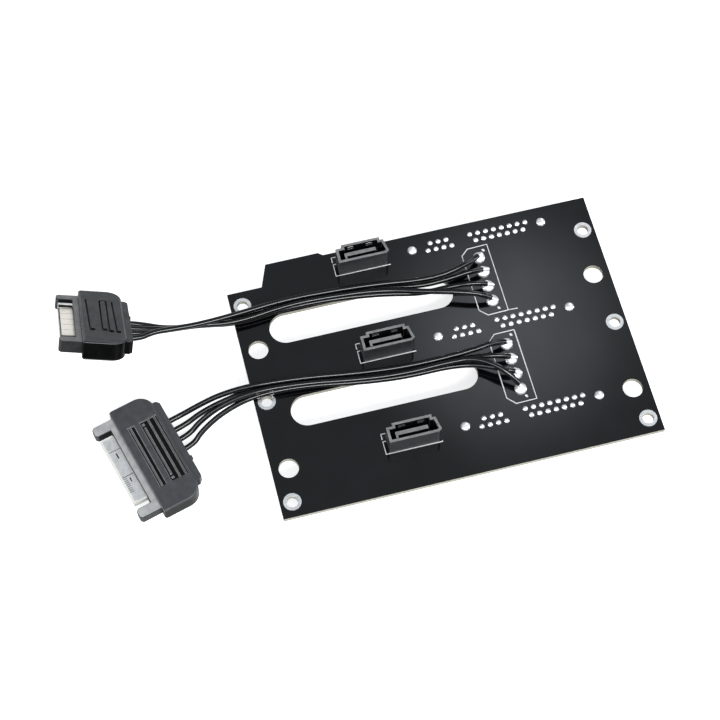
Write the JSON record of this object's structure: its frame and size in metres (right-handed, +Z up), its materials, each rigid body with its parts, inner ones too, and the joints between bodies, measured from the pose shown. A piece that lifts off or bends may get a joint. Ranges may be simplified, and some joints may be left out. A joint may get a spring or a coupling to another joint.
{
  "type": "hot swap drive backplane board",
  "caption": "Three-bay hot-swap drive backplane board with drive receptacles beneath, data headers on top and two power pigtails with flat plugs.",
  "frame": {"origin": "centre of the board's outline, on the surface that the drive receptacles' mouths rest on", "axes": "+X right along the board's long edge, +Y towards the edge with the raised tab, +Z up from the drive side to the cable side"},
  "size_m": [0.1679, 0.0901, 0.0282],
  "materials": {
    "board": "glossy black solder mask over glass laminate",
    "black_plastic": "satin",
    "grey_plastic": "satin",
    "light_grey_plastic": "satin",
    "ivory_plastic": "satin",
    "contact": "plated, bright",
    "tin": "bright tin",
    "solder": "bright",
    "wire_jacket": "glossy"
  },
  "bodies": {
    "root": {"circuit_board": "board", "screw_hole_rings": "tin", "drive_receptacle_housing_1": "black_plastic", "receptacle_contacts_1": "contact", "receptacle_hold_downs_1": "tin", "receptacle_solder_1": "solder", "data_header_housing_1": "black_plastic", "data_header_contacts_1": "contact", "data_header_solder_1": "solder", "drive_receptacle_housing_2": "black_plastic", "receptacle_contacts_2": "contact", "receptacle_hold_downs_2": "tin", "receptacle_solder_2": "solder", "data_header_housing_2": "black_plastic", "data_header_contacts_2": "contact", "data_header_solder_2": "solder", "drive_receptacle_housing_3": "black_plastic", "receptacle_contacts_3": "contact", "receptacle_hold_downs_3": "tin", "receptacle_solder_3": "solder", "data_header_housing_3": "black_plastic", "data_header_contacts_3": "contact", "data_header_solder_3": "solder", "plug_cover_a": "grey_plastic", "plug_frame_a": "light_grey_plastic", "plug_tongue_a": "ivory_plastic", "plug_blades_a": "contact", "plug_cap_a": "grey_plastic", "pigtail_solder_a": "solder", "pigtail_wire_a_1": "wire_jacket", "pigtail_wire_a_2": "wire_jacket", "pigtail_wire_a_3": "wire_jacket", "pigtail_wire_a_4": "wire_jacket", "plug_cover_b": "grey_plastic", "plug_frame_b": "light_grey_plastic", "plug_tongue_b": "ivory_plastic", "plug_blades_b": "contact", "plug_cap_b": "grey_plastic", "pigtail_solder_b": "solder", "pigtail_wire_b_1": "wire_jacket", "pigtail_wire_b_2": "wire_jacket", "pigtail_wire_b_3": "wire_jacket", "pigtail_wire_b_4": "wire_jacket"}
  },
  "joints": []
}
